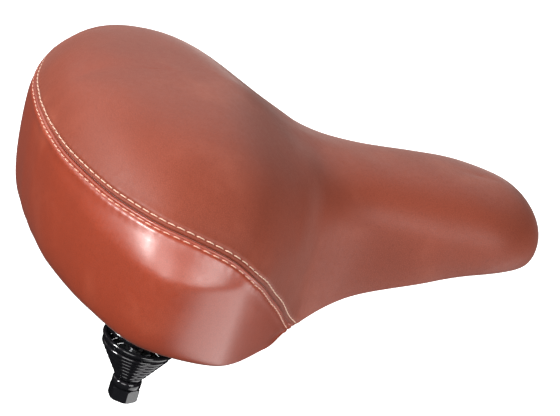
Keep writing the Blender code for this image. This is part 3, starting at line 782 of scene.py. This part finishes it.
def hem(w):
    """Points that carry a panel on past the rim and under the base, pleated on tight corners."""
    t, _ = side_of(w)
    inset = HEM_INSET[None, :]
    rise = HEM_RISE * smooth(0.0, 4.5 * MM, inset)
    tight = np.clip(sum(bell(t, *corner) for corner in PLEATED), 0, 1)[:, None]
    folds = np.abs(np.sin(np.pi * rim_run(w)[:, None] / PLEAT_PITCH)) ** 0.6
    pleat = -PLEAT_DEPTH * folds * tight * smooth(1.5 * MM, 8 * MM, inset)
    return rim(w[:, None], inset, rise + pleat)


def rim_run(w):
    """How far along the rim w lies from the nose."""
    line = np.linspace(0, 2, 2401)
    points = cover(line, 2.0)
    run = np.concatenate([[0], np.cumsum(np.linalg.norm(np.diff(points, axis=0), axis=1))])
    return np.interp(np.mod(w, 2.0), line, run)


def fold(w, away):
    """The seam allowance, turned down into the pad beside the seam."""
    s = seam_depth(w)
    normal = cover_normal(w, s)
    step = 0.01 * away
    across = unit(cover(w, s + step) - cover(w, s))
    start = cover(w, s) - normal * SEAM_VALLEY + across * 0.15 * MM
    return start[:, None] - normal[:, None] * FOLD_DEPTH[None, :, None]


def build_top(half):
    """The panel you sit on. It runs down to the rim at the nose and stops at the seam behind."""
    w = np.concatenate([half, (2 - half[1:-1])[::-1]])
    end = seam_depth(w)
    rows = rows_between(w, end, np.zeros_like(end), TOP_ROWS)[:, ::-1]
    rows[:, 0] = 0.0
    points = cover(w[:, None], rows)
    normal = cover_normal(w[:, None], rows)
    distance, run = seam.nearest(points)
    points = points + puff(0.0, 2.0, np.zeros_like, seam_depth, True)(
        np.broadcast_to(w[:, None], rows.shape), rows / end[:, None])
    points = points + normal * seam_relief(distance, run, 0.8)[..., None]
    t, _ = side_of(w)
    behind = (t > SEAM_START + 1e-6)[:, None, None]
    edge = np.where(behind, fold(w, -1.0), hem(w))
    points = np.concatenate([points, edge], axis=1)
    index = ring_index(*points.shape[:2])
    return compact(points, grid_faces(index, True))


def build_rear(half):
    """The deep panel round the wings and the tail."""
    half = half[half >= SEAM_START - 1e-9]
    w = np.concatenate([half, (2 - half[:-1])[::-1]])
    start = seam_depth(w)
    rows = rows_between(w, start, np.full_like(start, 2.0), REAR_ROWS)
    points = cover(w[:, None], rows)
    normal = cover_normal(w[:, None], rows)
    distance, run = seam.nearest(points)
    low, high = w[0], w[-1]
    room = np.maximum(2.0 - start, 1e-6)[:, None]
    points = points + puff(low, high, seam_depth, lambda v: np.full_like(v, 2.0), False)(
        np.broadcast_to(w[:, None], rows.shape), np.clip((rows - start[:, None]) / room, 0, 1))
    points = points + normal * seam_relief(distance, run, 1.0)[..., None]
    points = np.concatenate([fold(w, 1.0)[:, ::-1], points, hem(w)], axis=1)
    index = np.arange(points.size // 3).reshape(points.shape[:2])
    return compact(points, grid_faces(index, False))


def stitch_row(name, tree, side, length, look):
    """One row of lockstitches: each lies on the leather and dives into a hole at each end."""
    pieces = []
    for k in range(seam.stitches):
        middle = (k + 0.5) * seam.pitch
        path = []
        for share, height in STITCH_COURSE:
            here, _, normal, across = seam.frame_at(middle + share * length)
            above = here + across * side * STITCH_OFFSET + normal * 4 * MM
            hit = tree.ray_cast(Vector(above), Vector(-normal), 9 * MM)[0]
            if hit is None:
                break
            path.append(np.array(hit) + normal * height * MM)
        if len(path) == len(STITCH_COURSE):
            pieces.append(sweep(path, THREAD_RADIUS, sides=8, flat=0.8))
    finish_piece(gathered(name, pieces), look, "seat")


def build_cover():
    front = even_columns(0.0, SEAM_START, lambda t: np.full_like(t, 1.2), NOSE_PITCH)
    rear = even_columns(SEAM_START, 1.0, seam_depth, COLUMN_PITCH)
    half = np.concatenate([front[:-1], rear])
    panels = {}
    for name, builder, look, slot in (
            ("cover_top", build_top, TOP_LEATHER, "leather_top"),
            ("cover_rear", build_rear, REAR_LEATHER, "leather_rear")):
        points, faces = builder(half)
        panels[name] = BVHTree.FromPolygons([tuple(p) for p in points], faces)
        obj = thicken(mesh_object(name, points, faces), LEATHER_THICKNESS, -1)
        obj.data.shade_smooth()
        finish_piece(obj, look, "seat", [name + "_panel"])
    stitch_row("stitches_top", panels["cover_top"], 1, TOP_STITCH, CREAM_THREAD)
    stitch_row("stitches_rear", panels["cover_rear"], -1, REAR_STITCH, PINK_THREAD)


FOAM_COLUMNS = 160


def build_foam():
    """The pad, a closed form under the cover that laps the base's edge."""
    w = 2 * np.arange(FOAM_COLUMNS) / FOAM_COLUMNS
    shell_top = FLANGE_RISE + SHELL_THICKNESS + 2 * GAP
    s = np.concatenate([np.linspace(0, 1, 16), [1.2, 1.4, 1.6, 1.75]])
    upper = cover(w[:, None], s) - cover_normal(w[:, None], s) * FOAM_INSET
    upper[:, 0, 1] = 0.0
    past_edge = SHELL_EDGE_INSET - 2 * GAP
    lip = rim(w[:, None], np.array([FOAM_INSET, past_edge]), 2.0 * MM)
    step_up = rim(w[:, None], np.array([past_edge]), shell_top)
    wall = FLANGE_INSET - SHELL_THICKNESS - 3 * GAP
    share = np.array([1.0, 0.97, 0.93, 0.88, 0.8, 0.65, 0.4, 0.0])
    under = tray(w[:, None], share, wall, shell_top)
    points = np.concatenate([upper, lip, step_up, under], axis=1)
    faces = grid_faces(ring_index(*points.shape[:2], last_shared=True), True)
    obj = mesh_object("foam_core", *compact(points, faces), sharp=50)
    finish_piece(obj, FOAM, "seat", ["foam_pad"])


# ---------------------------------------------------------------- moulded base

BASE_COLUMNS = 260
RIB_HEIGHT, RIB_THICKNESS = 5.5 * MM, 1.7 * MM
CROSS_RIB_PITCH = 18 * MM
FIRST_CROSS_RIB, LAST_CROSS_RIB = -0.102, 0.075
# Each lengthwise rib's y, and the x that it runs forward to
LONG_RIBS = ((-0.040, -0.028), (-0.020, 0.030), (0.0, 0.078), (0.020, 0.030), (0.040, -0.028))
BOSS_RIBS, BOSS_RIB_LENGTH = 8, 9 * MM
BOSS_BORE = 2.3 * MM
STAPLE_PITCH = 15 * MM
STAPLE_INSET = 7.6 * MM
STAPLE_HALF_WIDTH, STAPLE_LEG = 4.6 * MM, 3.2 * MM
STAPLE_WIRE = 0.42 * MM


def slab(corners, low, high):
    """A flat polygon of (x, y) corners, counter-clockwise, from low to high."""
    count = len(corners)
    points = [(x, y, low) for x, y in corners] + [(x, y, high) for x, y in corners]
    faces = [list(range(count))[::-1], list(range(count, 2 * count))]
    faces += [[i, (i + 1) % count, count + (i + 1) % count, count + i] for i in range(count)]
    return points, faces


def rib(start, end, low=TRAY_Z - RIB_HEIGHT):
    """A rib from one (x, y) to another, from low up into the tray."""
    start, end = np.array(start), np.array(end)
    ahead = unit(end - start)
    out = np.array([ahead[1], -ahead[0]]) * RIB_THICKNESS / 2
    return slab([start + out, end + out, end - out, start - out], low, TRAY_Z + 0.5 * MM)


def build_base():
    """The moulded base: tray, walls and flange in one skin, with ribs and spring bosses."""
    w = 2 * np.arange(BASE_COLUMNS) / BASE_COLUMNS
    share = np.array([0, 0.3, 0.5, 0.62, 0.72, 0.79, 0.84, 0.88, 0.915, 0.945, 0.97, 0.985, 1.0])
    skin = tray(w[:, None], share, FLANGE_INSET, FLANGE_RISE)
    flange = rim(w[:, None], np.linspace(FLANGE_INSET, SHELL_EDGE_INSET, 4)[1:], FLANGE_RISE)
    points = np.concatenate([skin, flange], axis=1)
    faces = grid_faces(ring_index(*points.shape[:2]), True)
    obj = thicken(mesh_object("skin", *compact(points, faces)), SHELL_THICKNESS, 1)
    pieces = [(np.array([v.co[:] for v in obj.data.vertices]),
               [list(p.vertices) for p in obj.data.polygons])]
    bpy.data.objects.remove(obj, do_unlink=True)

    t = np.linspace(0.02, 0.98, 300)
    edge = tray(t, 0.80, FLANGE_INSET, FLANGE_RISE)
    edge = edge[np.argsort(edge[:, 0])]
    for x in np.arange(FIRST_CROSS_RIB, LAST_CROSS_RIB, CROSS_RIB_PITCH):
        half_width = float(np.interp(x, edge[:, 0], edge[:, 1]))
        pieces.append(rib((x, -half_width), (x, half_width)))
    tail = edge[0, 0] - 4 * MM
    for y, front in LONG_RIBS:
        pieces.append(rib((tail, y), (front, y)))
    for side in (1, -1):
        centre = (SPRING_X, side * SPRING_Y)
        foot = SPRING_SEAT - SPIGOT_DROP
        pieces.append(lathe([
            (0.0, TRAY_Z - 1 * MM), (BOSS_BORE, TRAY_Z - 1 * MM), (BOSS_BORE, foot),
            (SPIGOT_RADIUS - 0.7 * MM, foot), (SPIGOT_RADIUS, foot + 0.7 * MM),
            (SPIGOT_RADIUS, SPRING_SEAT), (BOSS_RADIUS - 0.6 * MM, SPRING_SEAT),
            (BOSS_RADIUS, SPRING_SEAT + 0.6 * MM), (BOSS_RADIUS, TRAY_Z + 1 * MM),
            (0.0, TRAY_Z + 1 * MM)][::-1], centre, 64))
        for k in range(BOSS_RIBS):
            angle = 2 * math.pi * (k + 0.5) / BOSS_RIBS
            way = np.array([math.cos(angle), math.sin(angle)])
            pieces.append(rib(np.array(centre) + way * (BOSS_RADIUS - 1 * MM),
                              np.array(centre) + way * (BOSS_RADIUS + BOSS_RIB_LENGTH),
                              low=SPRING_SEAT + 2.5 * MM))
    base = gathered("moulded_base", pieces, sharp=35)
    finish_piece(base, PLASTIC, "seat", ["base_shell"])


def build_staples():
    """Wire staples along the hem, evenly spaced about STAPLE_PITCH apart."""
    line = np.linspace(0, 1.99999, 2400)
    run = rim_run(line)
    up = np.array([0, 0, 1.0])
    leg, bend = up * STAPLE_LEG, up * 0.6 * MM
    step = 0.003
    pieces = []
    count = round(run[-1] / STAPLE_PITCH)
    for k in range(count):
        w = float(np.interp((k + 0.5) * run[-1] / count, run, line))
        centre = rim(w, STAPLE_INSET, HEM_RISE - 1.15 * MM)
        ahead = unit(rim(w + step, STAPLE_INSET, 0.0) - rim(w - step, STAPLE_INSET, 0.0))
        end, corner = ahead * STAPLE_HALF_WIDTH, ahead * (STAPLE_HALF_WIDTH - 0.5 * MM)
        pieces.append(sweep([
            centre - end + leg, centre - end + bend, centre - corner, centre,
            centre + corner, centre + end + bend, centre + end + leg], STAPLE_WIRE, sides=6))
    finish_piece(gathered("hem_staples", pieces), ZINC, "seat")


# ---------------------------------------------------------------- wire frame, springs and bolts

def rounded_path(corners, steps):
    """A path through (place, bend radius) corners, each bend an arc that touches both its legs."""
    places = [Vector(place) for place, _ in corners]
    path = [places[0]]
    for i in range(1, len(corners) - 1):
        here, radius = places[i], corners[i][1]
        back = (places[i - 1] - here).normalized()
        ahead = (places[i + 1] - here).normalized()
        half = back.angle(ahead) / 2
        centre = here + (back + ahead).normalized() * (radius / math.sin(half))
        start = here + back * (radius / math.tan(half)) - centre
        end = here + ahead * (radius / math.tan(half)) - centre
        swing = start.angle(end)
        for k in range(steps + 1):
            share = swing * k / steps
            blend = start * math.sin(swing - share) + end * math.sin(share)
            path.append(centre + blend / math.sin(swing))
    path.append(places[-1])
    return path


def build_rails():
    """One bent wire, its ends pressed flat into eyes under the springs."""
    eye_z = (EYE_TOP + EYE_BOTTOM) / 2
    drop_x, drop_y = RAIL_DROP
    eye = np.array([SPRING_X, SPRING_Y, eye_z])
    drop = np.array([drop_x, drop_y, eye_z])
    end = eye + unit(drop - eye) * (BOLT_RADIUS + 1.6 * MM)
    left = rounded_path([
        ((CROSSBAR_X, 0.0, CROSSBAR_Z), 0.0), ((CROSSBAR_X, CROSSBAR_Y, CROSSBAR_Z), BEND),
        ((RAIL_FRONT_X, RAIL_Y, RAIL_Z), LONG_BEND), ((RAIL_REAR_X, RAIL_Y, RAIL_Z), BEND),
        (tuple(drop), FOOT_BEND), (tuple(end), 0.0)], 14)
    left = np.array([p[:] for p in left])
    dense = [left[0]]
    for first, second in zip(left, left[1:]):
        count = max(int(np.linalg.norm(second - first) / (1.5 * MM)), 1)
        dense += [first + (second - first) * k / count for k in range(1, count + 1)]
    left = np.array(dense)
    path = np.vstack([(left * (1, -1, 1))[:0:-1], left])
    to_end = np.minimum(*[np.linalg.norm(path - end, axis=1) for end in (path[0], path[-1])])
    pressed = 1 - smooth(2 * MM, 13 * MM, to_end)
    width = WIRE_RADIUS * (1 + 0.45 * pressed)
    height = WIRE_RADIUS + ((EYE_TOP - EYE_BOTTOM) / 2 - 0.1 * MM - WIRE_RADIUS) * pressed
    pieces = [sweep(path, width, sides=28, flat=height / width)]
    bore, edge = BOLT_RADIUS + GAP, 0.7 * MM
    profile = [(bore, EYE_BOTTOM + edge / 2), (bore + edge / 2, EYE_BOTTOM),
               (EYE_RADIUS - edge, EYE_BOTTOM), (EYE_RADIUS, EYE_BOTTOM + edge),
               (EYE_RADIUS, EYE_TOP - edge), (EYE_RADIUS - edge, EYE_TOP),
               (bore + edge / 2, EYE_TOP), (bore, EYE_TOP - edge / 2),
               (bore, EYE_BOTTOM + edge / 2)]
    for side in (1, -1):
        pieces.append(lathe(profile, (SPRING_X, side * SPRING_Y), 56))
    finish_piece(gathered("rail_wire", pieces, sharp=50), BLACK_PAINT, "chassis",
                 ["rail_frame"])


def build_springs():
    """A cone of near-touching turns on the eye, then an open barrel up to the boss."""
    low = EYE_TOP + GAP + SPRING_WIRE
    high = SPRING_SEAT - GAP - SPRING_WIRE
    turns = CONE_TURNS + BARREL_TURNS
    turn = np.linspace(0, turns, round(turns * TURN_STEPS) + 1)
    cone = np.minimum(turn / CONE_TURNS, 1.0)
    barrel = np.maximum((turn - CONE_TURNS) / BARREL_TURNS, 0.0)
    radius = SPRING_FOOT_RADIUS + (SPRING_RADIUS - SPRING_FOOT_RADIUS) * cone
    height = low + (CONE_TOP - low) * cone + (high - CONE_TOP) * barrel
    for side, word in ((1, "left"), (-1, "right")):
        angle = 2 * np.pi * turn * side
        middle = (SPRING_X, side * SPRING_Y)
        path = np.stack([middle[0] + radius * np.cos(angle), middle[1] + radius * np.sin(angle),
                         height], -1)
        obj = mesh_object("coil_" + word, *sweep(path, SPRING_WIRE, sides=14), sharp=60)
        finish_piece(obj, BLACK_PAINT, None, ["spring_" + word])
        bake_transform(obj)


THREAD_PITCH, THREAD_DEPTH = 1.25 * MM, 0.65 * MM
STUD_THREAD = 11 * MM           # length of thread at each end


def threaded(bottom, top, spans):
    """A rod along Z from bottom to top, chamfered, with a rolled thread over some spans."""
    rows, sides = np.arange(bottom, top + 1e-9, THREAD_PITCH / 8), 28
    angle = 2 * np.pi * np.arange(sides) / sides
    phase = (rows[:, None] / THREAD_PITCH + angle[None] / (2 * np.pi)) % 1.0
    valley = THREAD_DEPTH * np.abs(2 * phase - 1)
    mask = np.zeros(len(rows))
    for low, high in spans:
        fade_in = smooth(low, low + THREAD_PITCH, rows)
        fade_out = 1 - smooth(high - THREAD_PITCH, high, rows)
        mask = np.maximum(mask, fade_in * fade_out)
    chamfer = np.maximum(0.8 * MM - np.minimum(rows - bottom, top - rows), 0.0)
    size = BOLT_RADIUS - np.maximum(valley * mask[:, None], chamfer[:, None])
    points = np.stack([size * np.cos(angle), size * np.sin(angle),
                       np.repeat(rows[:, None], sides, 1)], -1)
    index = np.arange(len(rows) * sides).reshape(-1, sides)
    return points.reshape(-1, 3), tube_faces(index)


def build_stud():
    """The clamp's cross bolt, threaded where its nuts run."""
    low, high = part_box("clamp_bolt")
    centre = centre_of("clamp_bolt")
    half = (high[1] - low[1]) / 2
    spans = [(-half, -half + STUD_THREAD), (half - STUD_THREAD, half)]
    points, faces = threaded(-half, half, spans)
    points = np.stack([centre.x + points[:, 0], points[:, 2], centre.z - points[:, 1]], -1)
    finish_piece(mesh_object("clamp_stud", points, faces, sharp=40), ZINC, "clamp_head",
                 ["clamp_bolt"])


def dress_cad_nodes():
    """The CAD pieces that stay: rounded edges and their real finish."""
    looks = {"clamp_steel": SATIN_BLACK, "black_paint": BLACK_PAINT, "zinc_steel": ZINC}
    slots = {row["node"]: row["material_slot"] for row in frame["record"]["subparts"]}
    replaced = {name for obj in bpy.data.objects for name in obj.get("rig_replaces", [])}
    for name, slot in slots.items():
        obj = bpy.data.objects.get(name)
        if obj is None or name in replaced:
            continue
        for place in obj.material_slots:
            place.material = looks[slot]
        edges = obj.modifiers.new("rounded edges", "BEVEL")
        edges.width = 0.35 * MM
        edges.segments = 2
        edges.limit_method = "ANGLE"
        edges.angle_limit = math.radians(35)
        edges.harden_normals = False


# ---------------------------------------------------------------- camera, floor and light

AZIMUTH, ELEVATION, ROLL = math.radians(-22.08), math.radians(22.12), math.radians(17.62)
AIM = Vector((0.0038, 0.0, 0.0699))
DISTANCE = 1.3007
LENS, SENSOR = 169.6, 36.0
FLOOR_DROP = 0.08               # room below for the frame as it tilts on its seatpost
FLOOR_HALF = 20
WORLD_STRENGTH = 0.16
# Each softbox: its direction from AIM, how far off it is, its size and its power in watts
SOFTBOXES = {
    "key": ((-0.89, -0.12, 0.47), 1.2, (0.22, 0.22), 13.0),
    "top_back": ((0.2, 0.75, 0.75), 1.6, (1.4, 1.0), 6.0),
    "front_left": ((-0.55, -0.75, 0.45), 1.6, (0.9, 0.9), 10.0),
    "front_right": ((0.35, -0.85, 0.4), 1.6, (0.9, 0.9), 14.0),
    "back_left": ((-0.5, 0.7, 0.6), 1.6, (1.0, 1.0), 5.0),
    "bounce": ((0.68, -0.42, -0.6), 1.6, (2.0, 1.3), 16.0),
}


def set_camera():
    back = Vector((math.sin(AZIMUTH) * math.cos(ELEVATION),
                   -math.cos(AZIMUTH) * math.cos(ELEVATION), math.sin(ELEVATION)))
    right = (-back).cross(Vector((0, 0, 1))).normalized()
    up = right.cross(-back)
    across = right * math.cos(ROLL) + up * math.sin(ROLL)
    above = up * math.cos(ROLL) - right * math.sin(ROLL)
    data = bpy.data.cameras.new("camera")
    data.lens, data.sensor_width = LENS, SENSOR
    data.clip_start, data.clip_end = 0.05, 50
    camera = bpy.data.objects.new("camera", data)
    camera.matrix_world = Matrix.Translation(AIM + back * DISTANCE) @ Matrix(
        (across, above, back)).transposed().to_4x4()
    bpy.context.scene.collection.objects.link(camera)
    bpy.context.scene.camera = camera


def softbox(name, direction, distance, size, power):
    """A rectangular lamp that faces AIM from some way off in this direction."""
    data = bpy.data.lights.new(name, "AREA")
    data.shape = "RECTANGLE"
    data.size, data.size_y = size
    data.energy = power
    lamp = bpy.data.objects.new(name, data)
    way = Vector(direction).normalized()
    lamp.location = AIM + way * distance
    lamp.rotation_euler = way.to_track_quat("Z", "Y").to_euler()
    bpy.context.scene.collection.objects.link(lamp)


def set_stage():
    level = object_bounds()[0][2] - FLOOR_DROP
    corners = ((-1, -1), (1, -1), (1, 1), (-1, 1))
    points = [(FLOOR_HALF * x, FLOOR_HALF * y, level) for x, y in corners]
    floor = mesh_object("floor", points, [[0, 1, 2, 3]])
    look = Look("floor", Roughness=0.9, Emission_Strength=1.0, Specular_IOR_Level=0.0)
    look.shader.inputs["Base Color"].default_value = (0.82, 0.82, 0.82, 1)
    look.shader.inputs["Emission Color"].default_value = (1, 1, 1, 1)
    floor.data.materials.append(look.material)
    floor.visible_shadow = False
    floor.visible_diffuse = False
    floor.visible_glossy = False
    world = bpy.data.worlds.new("studio")
    bpy.context.scene.world = world
    world.use_nodes = True
    background = world.node_tree.nodes["Background"]
    background.inputs["Color"].default_value = (1.0, 1.0, 1.0, 1)
    background.inputs["Strength"].default_value = WORLD_STRENGTH
    world.cycles_visibility.glossy = False
    bpy.context.scene.view_settings.view_transform = "Standard"
    for name, values in SOFTBOXES.items():
        softbox(name, *values)


set_camera()
build_cover()
build_foam()
build_base()
build_staples()
build_rails()
build_springs()
build_stud()
dress_cad_nodes()
set_stage()
